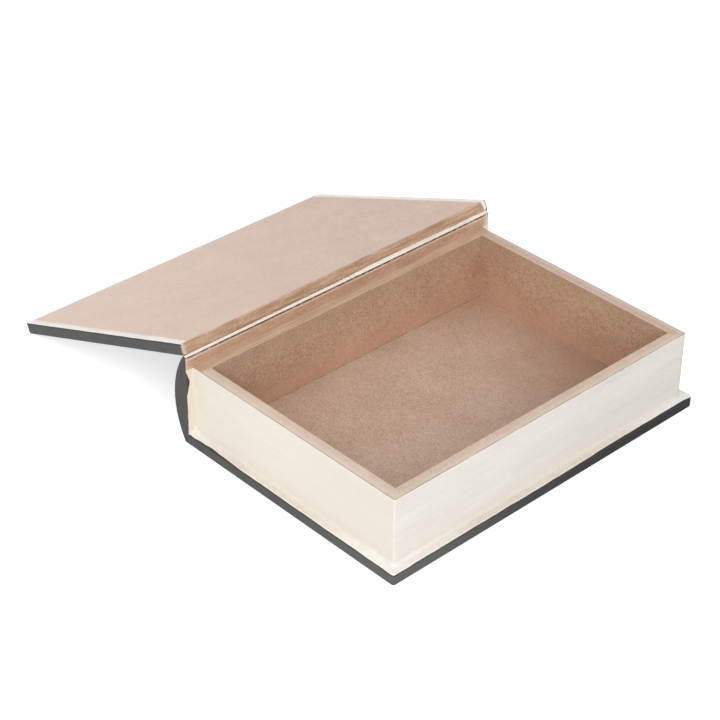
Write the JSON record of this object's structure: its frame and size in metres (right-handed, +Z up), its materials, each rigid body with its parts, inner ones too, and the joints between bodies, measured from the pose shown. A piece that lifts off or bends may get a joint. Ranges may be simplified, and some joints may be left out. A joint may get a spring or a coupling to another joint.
{
  "type": "book box",
  "caption": "Keepsake box shaped like a thick bound book: a tray of page-edged walls on the back cover, a rounded spine and a front-cover lid on a cloth joint.",
  "frame": {"origin": "centre of the back cover's underside, on the surface that the box lies on", "axes": "+X from the spine to the fore edge, +Y along the spine from tail to head, +Z up out of the tray"},
  "size_m": [0.2964, 0.217, 0.0602],
  "materials": {
    "bare_board": "bare fibreboard, matt",
    "page_paint": "fibreboard painted ivory outside with fine page lines, bare inside",
    "dark_covering": "charcoal covering, matt with a fine grain",
    "white_tape": "white cotton tape"
  },
  "bodies": {
    "case": {"back_board": "bare_board", "back_covering": "dark_covering", "spine": "bare_board", "spine_covering": "dark_covering", "spine_wall": "bare_board", "fore_edge_wall": "page_paint", "head_wall": "page_paint", "tail_wall": "page_paint"},
    "lid": {"lid_board": "bare_board", "lid_covering": "dark_covering", "hinge_covering": "dark_covering", "hinge_tape": "white_tape"}
  },
  "joints": [
    {"name": "lid_hinge", "type": "hinge", "parent": "case", "child": "lid", "pos_m": [-0.076, 0, 0.0535], "axis": [0, 1, 0], "range_deg": [0, 201.18]}
  ]
}
